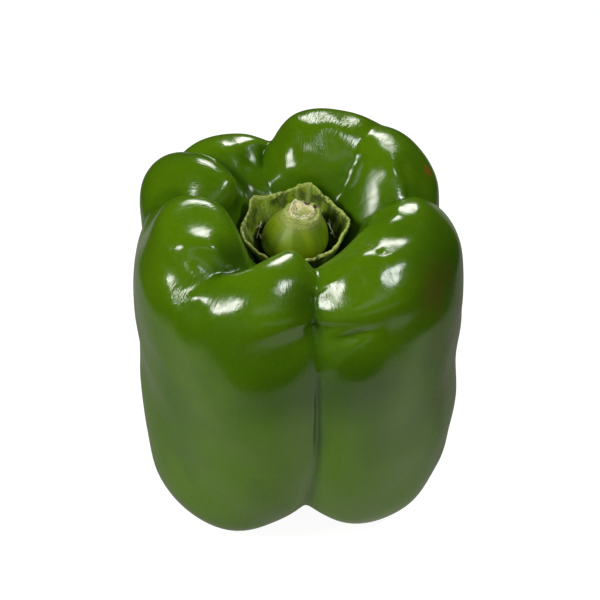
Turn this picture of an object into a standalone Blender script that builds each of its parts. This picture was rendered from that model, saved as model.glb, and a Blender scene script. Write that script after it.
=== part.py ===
"""A green, blocky bell pepper standing on its four lobes.

Three pieces: the fruit, the calyx cup sunk in its stem cavity, and the cut stub
of the stem. Each starts as a UV sphere whose rings and columns are pulled into
place. On the fruit the rings follow a turned profile, the meridian, from the
scar under the fruit to the pit under the stem, and the columns follow the
creases that part the lobes. Sizes are in millimetres until the last step.

+Z is up, the lobes stand on z = 0, and x = y = 0 is the middle of the fruit.
"""

import math
from dataclasses import dataclass

import bmesh
import bpy
import numpy as np

MM = 0.001

# ---------------------------------------------------------------- fruit sizes
BODY_RADIUS = 44.2          # wall at half height
BODY_HEIGHT = 98.0          # crown of an average shoulder
FOOT_RADIUS = 24.5          # ring on which the lobes stand
SCAR_HEIGHT = 12.0          # hollow of the blossom end, under the fruit
CROWN_RADIUS = 31.5         # ring of the shoulder tops
LIP_RADIUS = 20.5           # where the shoulders turn down into the stem cavity
THROAT_RADIUS = 16.0        # stem cavity where the calyx rim stands
THROAT_HEIGHT = 87.0
PIT_HEIGHT = 74.0           # bottom of the stem cavity
FOOT_FLAT = 0.7             # how much of each foot is pressed flat

# ------------------------------------------------------- calyx and stem sizes
CALYX_GAP = 0.5             # between the calyx and the bottom of the cavity
CALYX_WALL = 1.0
CALYX_FOOT_RADIUS = 5.4
CALYX_RIM_RADIUS = 14.1
CALYX_RIM_HEIGHT = 87.6
CALYX_RIM_ROUNDING = 0.28
STEM_RADIUS = 8.9           # at the bulge
STEM_BULGE_HEIGHT = 83.0
STEM_CUT_RADIUS = 4.8
STEM_CUT_HEIGHT = 92.3

# ------------------------------------------------------------------ mesh size
SECTOR_COLUMNS = 12         # columns from one crease to the next
BODY_RINGS = 52
CREASE_CROWDING = 0.55      # 0 spreads the columns evenly, 1 packs them at the creases
CALYX_COLUMNS = 72
CALYX_WALL_STEPS = 9
STEM_COLUMNS = 40
STEM_STEP = 1.5             # longest step between two rings of the stem
SPLINE_STEPS = 60
EVENING_PASSES = 60         # smoothing of the meridian's curvature

# The fruit's meridian: station, radius, height.
MERIDIAN = (
    ("scar", 0.0, SCAR_HEIGHT),
    ("navel", 9.0, SCAR_HEIGHT - 2.0),
    ("foot", FOOT_RADIUS, 0.0),
    ("heel", BODY_RADIUS - 5.0, 7.5),
    ("low", BODY_RADIUS - 1.4, 26.0),
    ("mid", BODY_RADIUS - 0.3, 50.0),
    ("high", BODY_RADIUS + 0.3, 74.0),
    ("brow", BODY_RADIUS - 1.3, 89.0),
    ("crown", CROWN_RADIUS, BODY_HEIGHT),
    ("lip", LIP_RADIUS, BODY_HEIGHT - 4.5),
    ("throat", THROAT_RADIUS, THROAT_HEIGHT),
    ("well", 13.2, 80.0),
    ("floor", 8.0, PIT_HEIGHT + 0.7),
    ("pit", 0.0, PIT_HEIGHT),
)
# Where the rings stand closer together: station, how much, over what length.
RING_CROWDING = (
    ("foot", 0.9, 14.0),
    ("heel", 0.6, 12.0),
    ("crown", 1.1, 20.0),
    ("throat", 0.6, 10.0),
    ("floor", 1.6, 6.0),
)

FOLD_SOFTNESS = 1.2         # degrees over which the bottom of a crease is round
FOOT_SPREAD = 0.5           # how much wider the creases open between the feet
FOOT_SPREAD_REACH = 24.0
BROAD_REACH = 21.0          # degrees, half width of a crease's round valley
COURSE_STATIONS = ("foot", "mid", "brow", "crown", "lip")
DEPTH_STATIONS = ("navel", "foot", "low", "mid", "high", "brow", "crown", "lip", "throat", "well")
SWELL_STATIONS = ("navel", "foot", "low", "mid", "high", "brow", "crown", "lip", "throat")


@dataclass(frozen=True)
class Fold:
    """A crease between two lobes, or a shallower one across a lobe's shoulder.

    course: azimuth in degrees at each of COURSE_STATIONS
    depth: depth at each of DEPTH_STATIONS
    width: degrees in which the steep part of the crease dies away
    broad: share of the depth that is a wide, round valley
    """

    course: tuple
    depth: tuple
    width: float
    broad: float


@dataclass(frozen=True)
class Hump:
    """A shoulder between two folds: its height over the meridian at SWELL_STATIONS."""

    azimuth: float
    swell: tuple


@dataclass(frozen=True)
class Dent:
    """A shallow hollow in the skin, or a bulge where its depth is negative.

    offset: distance up the meridian from the station
    across, along: half width round the fruit, half length up the meridian
    slant: how far it climbs for each millimetre round the fruit
    """

    azimuth: float
    station: str
    offset: float
    depth: float
    across: float
    along: float
    slant: float = 0.0


# In order round the fruit; the first comes back as the last, a turn later.
FOLDS = {
    "left": Fold(
        (-188, -192, -193, -189, -185), (3, 12, 6.5, 6.0, 7.5, 9.5, 10.5, 8.5, 2.0, 0), 9, 0.40
    ),
    "front_left": Fold(
        (-134, -134, -132, -126, -117), (0, 0, 0, 0, 0.0, 1.3, 7.5, 8.5, 2.0, 0), 11, 0.20
    ),
    "front": Fold(
        (-87, -81, -81, -80, -77), (3, 17, 6.5, 5.5, 7.5, 9.5, 9.5, 7.2, 3.0, 0), 9, 0.40
    ),
    "front_right": Fold(
        (-28, -28, -24, -20, -16), (0, 0, 0, 0, 0.0, 0.8, 2.4, 3.8, 1.5, 0), 13, 0.40
    ),
    "right": Fold(
        (16, 17, 17, 15, 10), (3, 12, 6.0, 5.5, 7.0, 9.5, 10.5, 8.5, 2.0, 0), 9, 0.40
    ),
    "back_right": Fold(
        (58, 58, 57, 53, 50), (0, 0, 0, 0, 0.3, 1.8, 4.4, 5.2, 2.0, 0), 9, 0.30
    ),
    "back": Fold(
        (104, 103, 100, 103, 110), (3, 12, 6.0, 5.5, 7.5, 10, 10.5, 8.5, 2.0, 0), 9, 0.40
    ),
    "back_left": Fold(
        (140, 138, 137, 136, 134), (0, 0, 0, 0.5, 1.5, 4.5, 8.0, 8.0, 3.0, 0), 9, 0.25
    ),
}
HUMPS = {
    "left_front": Hump(-160, (0, 0.9, 0.4, -0.5, 0.4, 1.0, 6.8, 8.6, 0)),
    "front_slope": Hump(-121, (0, 0.7, 0.8, 0.5, 0.6, 0.8, 1.2, 4.0, 0)),
    "front_left": Hump(-94, (0, 0.8, 0.8, 0.5, 0.6, 1.2, 2.6, 5.6, 0)),
    "front_right": Hump(-52, (0, 0.6, 0.8, 0.6, 0.6, 0.8, -1.4, 1.0, 0)),
    "right_front": Hump(-5, (0, 0.8, 2.3, 2.0, 1.4, 0.9, 3.6, 5.2, 0)),
    "right_back": Hump(30, (0, 1.1, 0.8, 1.4, 3.0, 5.2, 3.8, 1.6, 0)),
    "back_right": Hump(80, (0, 1.1, 0.5, 0.5, 1.2, 4.2, 5.2, 3.4, 0)),
    "back_left": Hump(114, (0, 2.0, 0.5, 1.2, 1.6, 2.6, 1.6, 1.8, 0)),
    "left_back": Hump(160, (0, 2.3, 2.8, 3.6, 5.2, 7.8, 6.4, 7.6, 0)),
}
DENTS = (
    Dent(-52, "brow", -6.0, 1.5, 24.0, 5.0),           # waist under the right front shoulder
    Dent(-74, "brow", -5.0, 1.2, 8.0, 4.0),
    Dent(-90, "brow", -6.5, 1.5, 6.0, 5.0, 0.15),      # pucker beside the front crease
    Dent(-101, "brow", -9.0, 0.9, 9.0, 6.0, 0.25),
    Dent(-66, "high", -5.0, -0.9, 14.0, 8.0),          # bulge below the waist
    Dent(-86, "lip", -2.0, -1.8, 4.5, 6.0),            # left front shoulder, full up to the crease
    Dent(-108, "heel", 0.0, -0.9, 15.0, 8.0),          # full front feet
    Dent(-72, "heel", 0.0, -0.4, 8.0, 8.0),
    Dent(-150, "heel", 8.0, -0.9, 12.0, 9.0),
    Dent(-180, "brow", 5.0, 4.2, 11.0, 10.0),          # left front shoulder, sloping off
    Dent(-178, "brow", -5.0, 1.7, 11.0, 9.0),
    Dent(-155, "lip", 2.0, 4.2, 7.0, 4.5),             # and steep towards the calyx
    Dent(96, "crown", -2.0, -2.2, 6.0, 7.0),           # back right shoulder, square to its crease
    Dent(-50, "crown", 3.0, -2.0, 11.0, 4.5),          # sub-hump of the right front shoulder
    Dent(-34, "crown", 7.0, 1.6, 8.0, 3.0),            # and the valley behind it
    Dent(-44, "crown", 3.6, 0.9, 1.5, 1.5),            # dimple on the right front shoulder
    Dent(-26, "mid", 0.0, 0.5, 8.0, 14.0, 0.1),
    Dent(-128, "low", 6.0, 0.5, 9.0, 12.0, -0.2),
    Dent(88, "lip", -3.0, 0.8, 1.8, 6.0),              # flutes down into the stem cavity
    Dent(70, "lip", -2.0, 0.7, 1.6, 5.0),
)
# Slow unevenness of the wall: height, waves round the fruit, waves along it, phase.
LUMPS = ((0.30, 3, 2, 0.4), (0.25, 5, 3, 2.1), (0.18, 7, 5, 4.4), (0.14, 9, 8, 1.3))
LUMP_FADE_FOOT = 20.0       # length over which the lumps fade in above the foot
LUMP_FADE_LIP = 15.0        # and out below the lip

# Calyx rim: azimuth, radius over CALYX_RIM_RADIUS, height over CALYX_RIM_HEIGHT.
CALYX_RIM = (
    (-178, 0.4, -0.6), (-165, 0.5, -0.2), (-150, 0.7, 0.0), (-132, 0.4, -0.6), (-118, 0.2, -1.4),
    (-95, 0.0, -1.4), (-74, 0.2, -0.4), (-56, 0.5, 0.0), (-38, -0.3, -0.6), (-18, -0.8, -0.4),
    (2, 0.5, 0.8), (14, 0.4, -0.2), (34, -0.9, 0.5), (56, -0.7, 1.5), (76, 0.9, 2.9),
    (90, -0.3, 1.7), (108, -1.0, 0.9), (126, -0.3, 0.7), (141, 1.2, 1.7), (154, -0.4, 0.3),
    (168, -0.4, -0.2),
)
CALYX_TEETH = ((0.22, 17, 0.3), (0.20, 29, 2.0), (0.14, 41, 4.1))   # height, count, phase
CALYX_BELLY = (10.2, 1.2)   # radius, and height over the underside, where the cup turns up
CALYX_WAIST = (12.2, 7.4)   # radius, and height over the underside, half way up the cup

# Stem: radius, height, how far the axis leans towards -X there.
STEM_PROFILE = (
    (0.0, PIT_HEIGHT + 2.3, -0.2),
    (3.8, PIT_HEIGHT + 2.4, -0.2),
    (5.5, PIT_HEIGHT + 3.6, -0.2),
    (7.6, 79.9, -0.1),
    (STEM_RADIUS, STEM_BULGE_HEIGHT, -0.2),
    (STEM_RADIUS - 0.7, 86.6, -0.5),
    (STEM_RADIUS - 2.6, 89.4, -1.1),
    (STEM_CUT_RADIUS + 0.3, 91.0, -1.7),
    (STEM_CUT_RADIUS, STEM_CUT_HEIGHT, -1.9),
    (STEM_CUT_RADIUS - 0.9, STEM_CUT_HEIGHT, -1.9),
    (STEM_CUT_RADIUS - 1.6, STEM_CUT_HEIGHT - 0.9, -1.9),
    (0.0, STEM_CUT_HEIGHT - 1.2, -1.9),
)
# The stem is a little out of round at its bulge: share of the radius, waves, phase.
STEM_UNROUND = ((0.05, 1, -3.4), (0.02, 3, 1.0))
# Raised fibres round the cut: height, waves round the stem, phase.
CUT_FIBRES = ((0.35, 3, 0.6), (0.25, 7, 2.2), (0.18, 11, 4.0))


def half_turn(angle):
    """Degrees brought into -180 to 180."""
    return (angle + 180.0) % 360.0 - 180.0


def bell(x, reach):
    """1 at x = 0, falling away smoothly over the reach."""
    return np.exp(-((x / reach) ** 2))


def through(x, knots, values):
    """A smooth curve through the values that never overshoots between two knots."""
    knots, values = np.asarray(knots, float), np.asarray(values, float)
    span = np.diff(knots)
    slope = np.diff(values) / span
    tangent = np.zeros_like(values)
    for k in range(1, len(values) - 1):
        if slope[k - 1] * slope[k] > 0:
            a, b = 2 * span[k] + span[k - 1], span[k] + 2 * span[k - 1]
            tangent[k] = (a + b) / (a / slope[k - 1] + b / slope[k])
    i = np.clip(np.searchsorted(knots, x) - 1, 0, len(knots) - 2)
    t = np.clip((x - knots[i]) / span[i], 0, 1)
    return (
        (1 + 2 * t) * (1 - t) ** 2 * values[i]
        + t * (1 - t) ** 2 * span[i] * tangent[i]
        + t * t * (3 - 2 * t) * values[i + 1]
        + t * t * (t - 1) * span[i] * tangent[i + 1]
    )


def spline(points, steps):
    """A centripetal Catmull-Rom curve from pole to pole, and each point's index on it."""
    points = np.asarray(points, float)
    points = np.vstack([points[1] * [-1, 1], points, points[-2] * [-1, 1]])
    pieces = []
    for i in range(1, len(points) - 2):
        near = points[i - 1 : i + 3]
        chords = np.linalg.norm(np.diff(near, axis=0), axis=1)
        t = np.concatenate([[0], np.cumsum(chords**0.5)])
        u = np.linspace(t[1], t[2], steps, endpoint=False)[:, None]
        level = list(near)
        for gap in (1, 2):
            level = [
                ((t[k + gap] - u) * level[k] + (u - t[k]) * level[k + 1]) / (t[k + gap] - t[k])
                for k in range(len(level) - 1)
            ]
        pieces.append(((t[2] - u) * level[0] + (u - t[1]) * level[1]) / (t[2] - t[1]))
    marks = [steps * i for i in range(len(pieces) + 1)]
    return np.vstack([*pieces, points[-2:-1]]), marks


class Meridian:
    """The turned profile of the fruit, walked by arc length from the scar to the pit."""

    def __init__(self, stations):
        line, marks = spline([(radius, height) for _, radius, height in stations], SPLINE_STEPS)
        for _ in range(EVENING_PASSES):
            line[1:-1] = 0.25 * line[:-2] + 0.5 * line[1:-1] + 0.25 * line[2:]
        self.line = line
        self.arc = np.concatenate([[0], np.cumsum(np.linalg.norm(np.diff(line, axis=0), axis=1))])
        self.at = {name: self.arc[mark] for (name, _, _), mark in zip(stations, marks)}

    def rings(self, count):
        """Arc lengths of the rings, closer together where RING_CROWDING says."""
        fine = np.linspace(0, self.arc[-1], 2000)
        density = np.ones_like(fine)
        for station, gain, reach in RING_CROWDING:
            density += gain * bell(fine - self.at[station], reach)
        walked = np.concatenate([[0], np.cumsum(0.5 * (density[1:] + density[:-1]))])
        return np.interp(np.linspace(0, walked[-1], count), walked, fine)

    def place(self, arc):
        """Radius and height at each arc length."""
        return np.stack([np.interp(arc, self.arc, self.line[:, k]) for k in (0, 1)])

    def outward(self, arc, step=0.25):
        """Radial and vertical part of the outward normal at each arc length."""
        along_r, along_z = self.place(arc + step) - self.place(arc - step)
        length = np.maximum(np.hypot(along_r, along_z), 1e-9)
        return along_z / length, -along_r / length


class Fruit:
    """The fruit's surface as a grid of rings, scar first, by columns round it."""

    def __init__(self, ring_count, sector_columns):
        self.meridian = Meridian(MERIDIAN)
        self.arc = self.meridian.rings(ring_count)
        self.radius, self.height = (v[:, None] for v in self.meridian.place(self.arc))
        self.courses = [self.along(COURSE_STATIONS, fold.course) for fold in FOLDS.values()]
        self.azimuth = self.columns(sector_columns)

    def along(self, stations, values):
        """A value given at some stations, on every ring."""
        return through(self.arc, [self.meridian.at[s] for s in stations], values)[:, None]

    def columns(self, per_sector):
        """Azimuth of every column on every ring, crowded towards the creases."""
        t = np.linspace(0, 1, per_sector, endpoint=False)[None, :]
        t = t - CREASE_CROWDING * np.sin(2 * np.pi * t) / (2 * np.pi)
        ends = [*self.courses[1:], self.courses[0] + 360.0]
        return np.concatenate([a + (b - a) * t for a, b in zip(self.courses, ends)], axis=1)

    def sunk(self):
        """How deep the creases sink the skin."""
        depth = np.zeros_like(self.azimuth)
        spread = 1 + FOOT_SPREAD * bell(self.arc - self.meridian.at["foot"], FOOT_SPREAD_REACH)
        for fold, course in zip(FOLDS.values(), self.courses):
            away = half_turn(self.azimuth - course)
            rounded = np.sqrt(away**2 + FOLD_SOFTNESS**2) - FOLD_SOFTNESS
            steep = np.exp(-rounded / (fold.width * spread[:, None]))
            shape = (1 - fold.broad) * steep + fold.broad * bell(away, BROAD_REACH)
            depth += self.along(DEPTH_STATIONS, fold.depth) * shape
        return depth

    def raised(self):
        """How high the shoulders stand over the meridian, easing from one to the next."""
        humps = [*HUMPS.values(), *list(HUMPS.values())[:1]]
        knots = np.array([hump.azimuth for hump in humps], float)
        knots[-1] += 360.0
        swells = np.stack([self.along(SWELL_STATIONS, hump.swell)[:, 0] for hump in humps])
        turned = knots[0] + (self.azimuth - knots[0]) % 360.0
        before = np.clip(np.searchsorted(knots, turned, side="right") - 1, 0, len(HUMPS) - 1)
        t = (turned - knots[before]) / (knots[before + 1] - knots[before])
        t = t * t * (3 - 2 * t)
        ring = np.arange(len(self.arc))[:, None]
        return (1 - t) * swells[before, ring] + t * swells[before + 1, ring]

    def dented(self):
        """The depth of the local dents."""
        depth = np.zeros_like(self.azimuth)
        for dent in DENTS:
            across = np.radians(half_turn(self.azimuth - dent.azimuth)) * self.radius
            up = self.arc[:, None] - self.meridian.at[dent.station] - dent.offset
            depth += dent.depth * bell(across, dent.across) * bell(up - dent.slant * across, dent.along)
        return depth

    def lumpy(self):
        """The slow unevenness of the wall, none at the feet or in the stem cavity."""
        at = self.meridian.at
        fade = np.clip((self.arc - at["foot"]) / LUMP_FADE_FOOT, 0, 1)
        fade = fade * np.clip((at["lip"] - self.arc) / LUMP_FADE_LIP, 0, 1)
        turn = self.arc[:, None] / self.meridian.arc[-1] * 2 * np.pi
        height = np.zeros_like(self.azimuth)
        for size, waves_round, waves_up, phase in LUMPS:
            height += size * np.sin(np.radians(self.azimuth) * waves_round + turn * waves_up + phase)
        return height * fade[:, None]

    def grid(self):
        """The surface's points, with the feet pressed flat on z = 0."""
        out = self.raised() - self.sunk() - self.dented() + self.lumpy()
        normal_r, normal_z = (v[:, None] for v in self.meridian.outward(self.arc))
        r = self.radius + normal_r * out
        z = np.maximum(self.height + normal_z * out - FOOT_FLAT, 0.0)
        a = np.radians(self.azimuth)
        points = np.stack([r * np.cos(a), r * np.sin(a), z], axis=-1)
        for pole in (0, -1):
            points[pole] = [0.0, 0.0, z[pole].mean()]
        return points


def calyx_rim(azimuth):
    """Radius and height of the ragged rim."""
    knots, radius, height = np.array([*CALYX_RIM, *CALYX_RIM[:2]], float).T
    knots[-2:] += 360.0
    turned = knots[0] + (azimuth - knots[0]) % 360.0
    radius, height = (through(turned, knots, values) for values in (radius, height))
    for size, count, phase in CALYX_TEETH:
        height = height + size * np.sin(np.radians(azimuth) * count + phase)
    return CALYX_RIM_RADIUS + radius, CALYX_RIM_HEIGHT - FOOT_FLAT + height


def calyx_grid(columns):
    """The calyx cup, from the middle of its underside over the rim to its floor."""
    azimuth = np.linspace(-180, 180, columns, endpoint=False)
    rim_r, rim_z = calyx_rim(azimuth)
    under = PIT_HEIGHT + CALYX_GAP - FOOT_FLAT
    t = np.linspace(0, 1, CALYX_WALL_STEPS)[:, None]
    weights = ((1 - t) ** 3, 3 * t * (1 - t) ** 2, 3 * t**2 * (1 - t), t**3)

    def wall(foot, inset):
        """A curve from the foot up to the rim, set in from the outer face."""
        belly_r, belly_z = CALYX_BELLY[0] - inset, under + CALYX_BELLY[1] + inset
        waist_r = CALYX_WAIST[0] - inset + 0.4 * (rim_r - CALYX_RIM_RADIUS)
        waist_z = under + CALYX_WAIST[1] + 0.3 * inset
        r = weights[0] * foot[0] + weights[1] * belly_r + weights[2] * waist_r
        z = weights[0] * foot[1] + weights[1] * belly_z + weights[2] * waist_z
        return r + weights[3] * (rim_r - 0.8 * inset), z + weights[3] * rim_z

    outer_r, outer_z = wall((CALYX_FOOT_RADIUS, under + 0.15), 0.0)
    inner_r, inner_z = wall((CALYX_FOOT_RADIUS - 0.6, under + 0.15 + CALYX_WALL), CALYX_WALL)
    edge_r = 0.5 * (outer_r[-1:] + inner_r[-1:])
    edge_z = rim_z[None] + CALYX_RIM_ROUNDING
    disc_r = np.array([[0.0], [0.5 * CALYX_FOOT_RADIUS]]) + np.zeros((1, columns))
    disc_z = np.full_like(disc_r, under)
    r = np.vstack([disc_r, outer_r, edge_r, inner_r[::-1], disc_r[::-1]])
    z = np.vstack([disc_z, outer_z, edge_z, inner_z[::-1], disc_z + CALYX_WALL])
    a = np.radians(azimuth)
    return np.stack([r * np.cos(a), r * np.sin(a), z], axis=-1)


def stem_line():
    """Radius, height and lean of the stem's rings."""
    profile = np.asarray(STEM_PROFILE, float)
    line, marks = spline(profile[:, :2], SPLINE_STEPS)
    lean = np.interp(np.arange(len(line)), marks, profile[:, 2])
    rings = [0]
    for start, end in zip(marks, marks[1:]):
        length = np.linalg.norm(np.diff(line[start : end + 1], axis=0), axis=1).sum()
        steps = max(1, round(length / STEM_STEP))
        rings += [start + round((end - start) * k / steps) for k in range(1, steps + 1)]
    return line[rings, 0, None], line[rings, 1, None], lean[rings, None]


def stem_grid(columns):
    """The stem's stub, from its foot over the bulge to the torn cut."""
    a = np.radians(np.linspace(-180, 180, columns, endpoint=False))[None]
    r, z, lean = stem_line()
    bulge = bell(z - STEM_BULGE_HEIGHT, 4.0)
    unround = sum(share * np.cos(count * a + phase) for share, count, phase in STEM_UNROUND)
    r = r * (1 + bulge * unround)
    torn = bell(r - STEM_CUT_RADIUS + 0.6, 1.0) * (z > STEM_CUT_HEIGHT - 0.7)
    fibres = sum(size * np.sin(count * a + phase) for size, count, phase in CUT_FIBRES)
    z = z - FOOT_FLAT + torn * fibres
    return np.stack([r * np.cos(a) - lean, r * np.sin(a), z], axis=-1)


def pulled_sphere(name, grid, material):
    """A UV sphere with one ring of vertices for each ring of the grid, pulled onto it."""
    rings, columns = grid.shape[:2]
    shape = bmesh.new()
    bmesh.ops.create_uvsphere(shape, u_segments=columns, v_segments=rings - 1, radius=1.0)
    for vertex in shape.verts:
        x, y, z = vertex.co
        polar = math.acos(max(-1.0, min(1.0, z)))
        ring = round((1 - polar / math.pi) * (rings - 1))
        column = round(math.atan2(y, x) / (2 * math.pi) * columns) % columns
        vertex.co = [float(v) * MM for v in grid[ring, column]]
    bmesh.ops.triangulate(shape, faces=shape.faces[:], quad_method="SHORT_EDGE")
    mesh = bpy.data.meshes.new(name)
    shape.to_mesh(mesh)
    shape.free()
    mesh.shade_smooth()
    mesh.set_sharp_from_angle(angle=math.radians(50))
    mesh.materials.append(material)
    piece = bpy.data.objects.new(name, mesh)
    bpy.context.scene.collection.objects.link(piece)
    return piece


def plant_material(name, colour, roughness, coat=0.0):
    """A Principled material for skin, leaf or stem."""
    material = bpy.data.materials.new(name)
    material.use_nodes = True
    shader = material.node_tree.nodes["Principled BSDF"]
    shader.inputs["Base Color"].default_value = (*colour, 1.0)
    shader.inputs["Roughness"].default_value = roughness
    shader.inputs["Metallic"].default_value = 0.0
    shader.inputs["Coat Weight"].default_value = coat
    return material


def centred(fruit, *others):
    """All the grids moved so that the fruit's box is centred on x = y = 0."""
    middle = 0.5 * (fruit.min(axis=(0, 1)) + fruit.max(axis=(0, 1)))
    middle[2] = 0.0
    return [grid - middle for grid in (fruit, *others)]


def main():
    """Empties the scene and builds the three pieces."""
    for piece in list(bpy.data.objects):
        bpy.data.objects.remove(piece, do_unlink=True)
    fruit, calyx, stem = centred(
        Fruit(BODY_RINGS, SECTOR_COLUMNS).grid(), calyx_grid(CALYX_COLUMNS), stem_grid(STEM_COLUMNS)
    )
    skin = plant_material("pepper_skin", (0.042, 0.126, 0.0035), 0.16, coat=0.4)
    body = pulled_sphere("pepper_body", fruit, skin)
    leaf = plant_material("calyx_green", (0.095, 0.155, 0.008), 0.55)
    stalk = plant_material("stem_green", (0.118, 0.190, 0.006), 0.38)
    for name, grid, material in (("calyx", calyx, leaf), ("stem", stem, stalk)):
        pulled_sphere(name, grid, material).parent = body


if __name__ == "__main__":
    main()
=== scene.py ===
"""The looks of a green bell pepper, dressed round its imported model.

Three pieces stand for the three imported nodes: the glossy skin of the fruit, the
ragged calyx cup sunk in its stem cavity, and the cut stub of the stem. Each starts
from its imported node, which has the right form already, and is subdivided and worked
finer: flats, creases and a dimple in the skin, a torn rim on the calyx, and the
ragged cut of the stem. A fourth piece holds the pale fibres in the cup and round the
cut, drawn as curves. Lengths are in metres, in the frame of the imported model, except
for the places and sizes that are said to be in millimetres.
"""

import logging
import math
import random
from abc import ABC, abstractmethod
from dataclasses import dataclass
from enum import Enum

import bpy
import numpy as np
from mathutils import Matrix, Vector, noise


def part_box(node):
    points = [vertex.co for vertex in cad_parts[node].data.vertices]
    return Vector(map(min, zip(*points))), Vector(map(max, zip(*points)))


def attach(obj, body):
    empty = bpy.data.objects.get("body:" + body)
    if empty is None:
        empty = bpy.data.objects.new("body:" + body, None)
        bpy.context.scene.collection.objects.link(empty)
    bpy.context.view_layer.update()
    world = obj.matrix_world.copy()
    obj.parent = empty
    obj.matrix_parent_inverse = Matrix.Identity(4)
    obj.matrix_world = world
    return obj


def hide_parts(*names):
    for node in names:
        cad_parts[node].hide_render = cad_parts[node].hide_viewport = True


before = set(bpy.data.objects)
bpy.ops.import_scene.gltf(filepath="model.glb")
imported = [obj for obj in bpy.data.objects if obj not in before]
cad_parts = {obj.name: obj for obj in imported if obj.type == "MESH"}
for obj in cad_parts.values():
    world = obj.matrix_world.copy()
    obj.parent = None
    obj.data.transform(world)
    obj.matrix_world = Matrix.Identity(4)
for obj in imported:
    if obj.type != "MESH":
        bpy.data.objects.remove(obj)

log = logging.getLogger("bell_pepper")

MM = 0.001

Socket = bpy.types.NodeSocket
Colour = tuple[float, float, float]
Point = tuple[float, float, float]  # millimetres, unless each number stands beside MM
Span = tuple[float, float]

WHITE: Colour = (1.0, 1.0, 1.0)


class Slot(Enum):
    """The record's material slots."""

    SKIN = "skin"
    CALYX = "calyx"
    STEM = "stem"


# ------------------------------------------------------------ modelling


def select_only(piece: bpy.types.Object) -> None:
    """Deselects everything else and makes the piece active.

    Args:
        piece: the object that the next operators act on.
    """
    bpy.ops.object.select_all(action="DESELECT")
    piece.select_set(True)
    bpy.context.view_layer.objects.active = piece


def subdivide_smoothly(piece: bpy.types.Object, levels: int) -> None:
    """Applies a Subdivision Surface of the same level for view and render.

    Args:
        piece: the object to subdivide.
        levels: how often.
    """
    select_only(piece)
    modifier = piece.modifiers.new("subdivision", "SUBSURF")
    modifier.levels = modifier.render_levels = levels
    bpy.ops.object.modifier_apply(modifier=modifier.name)


def rows_of(items: bpy.types.bpy_prop_collection, field: str) -> np.ndarray:
    """A vector of each item of a mesh.

    Args:
        items: the mesh's vertices or their normals.
        field: the vector's name there.

    Returns:
        Rows of x, y and z.
    """
    flat = np.empty(len(items) * 3, np.float32)
    items.foreach_get(field, flat)
    return flat.reshape(-1, 3).astype(float)


def points_of(mesh: bpy.types.Mesh) -> np.ndarray:
    """The mesh's vertices as rows."""
    return rows_of(mesh.vertices, "co")


def normals_of(mesh: bpy.types.Mesh) -> np.ndarray:
    """The mesh's vertex normals as rows."""
    return rows_of(mesh.vertex_normals, "vector")


def move_points(mesh: bpy.types.Mesh, points: np.ndarray) -> None:
    """Puts the mesh's vertices where the rows of points say."""
    mesh.vertices.foreach_set("co", points.astype(np.float32).ravel())
    mesh.update()


def keep_on_points(mesh: bpy.types.Mesh, name: str, values: np.ndarray) -> None:
    """Stores one number, or one vector, on each vertex for a material to read.

    Args:
        mesh: the mesh that gets the attribute.
        name: the attribute's name.
        values: one row for each vertex.
    """
    kind, field = ("FLOAT", "value") if values.ndim == 1 else ("FLOAT_VECTOR", "vector")
    attribute = mesh.attributes.new(name, kind, "POINT")
    attribute.data.foreach_set(field, values.astype(np.float32).ravel())


def keep_grain(mesh: bpy.types.Mesh, around: np.ndarray, along: np.ndarray) -> None:
    """Stores the coordinates that strands follow.

    Args:
        mesh: the mesh that gets the attribute.
        around: each vertex's azimuth, in degrees.
        along: how far each vertex lies along the piece.
    """
    turned = np.radians(around)
    keep_on_points(mesh, "grain", np.stack([np.cos(turned), np.sin(turned), along], axis=1))


def bell(distance: np.ndarray, reach: float) -> np.ndarray:
    """1 at no distance, falling away smoothly over the reach."""
    return np.exp(-((distance / reach) ** 2))


def direction(azimuth: float, elevation: float) -> np.ndarray:
    """The way that something faces.

    Args:
        azimuth: degrees round from +X.
        elevation: degrees above the floor.

    Returns:
        The unit vector.
    """
    round_z, up = math.radians(azimuth), math.radians(elevation)
    flat = math.cos(up)
    return np.array([math.cos(round_z) * flat, math.sin(round_z) * flat, math.sin(up)])


def azimuths(points: np.ndarray, axis: Span) -> np.ndarray:
    """The azimuth of each point round an upright axis, in degrees."""
    return np.degrees(np.arctan2(points[:, 1] - axis[1], points[:, 0] - axis[0]))


def turn_between(first: np.ndarray, second: float) -> np.ndarray:
    """The signed angle from the second azimuth to the first, within half a turn."""
    return (first - second + 180.0) % 360.0 - 180.0


def distances(points: np.ndarray, place: Point) -> np.ndarray:
    """How far each point lies from a place in millimetres."""
    return np.linalg.norm(points - np.array(place) * MM, axis=1)


def beside_run(points: np.ndarray, start: Point, end: Point) -> tuple[np.ndarray, np.ndarray]:
    """Where points lie beside a straight run.

    Args:
        points: the points.
        start: one end of the run, in millimetres.
        end: its other end, in millimetres.

    Returns:
        How far along the run each point lies, from 0 to 1, and its distance from the run.
    """
    first = np.array(start) * MM
    run = np.array(end) * MM - first
    along = np.clip((points - first) @ run / (run @ run), 0, 1)
    return along, np.linalg.norm(points - first - along[:, None] * run, axis=1)


def uneven(points: np.ndarray, size: float, seed: float) -> np.ndarray:
    """Smooth unevenness between -1 and 1.

    Args:
        points: where it is wanted.
        size: the size of its swells.
        seed: shifts the pattern.

    Returns:
        One value for each point.
    """
    shift = Vector((seed, 1.7 * seed, -seed))
    return np.array([noise.noise(Vector(point / size) + shift) for point in points])


@dataclass(frozen=True)
class Swell:
    """Unevenness of a surface.

    size, height: in millimetres
    seed: shifts the pattern
    bias: how far the pattern's middle lies to one side, as a share of the height
    """

    size: float
    height: float
    seed: float
    bias: float = 0.0

    def over(self, points: np.ndarray, share: np.ndarray) -> np.ndarray:
        """How far each point moves, where only a share of the height applies."""
        pattern = uneven(points, self.size * MM, self.seed)
        return self.height * MM * share * (self.bias + pattern)


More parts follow.
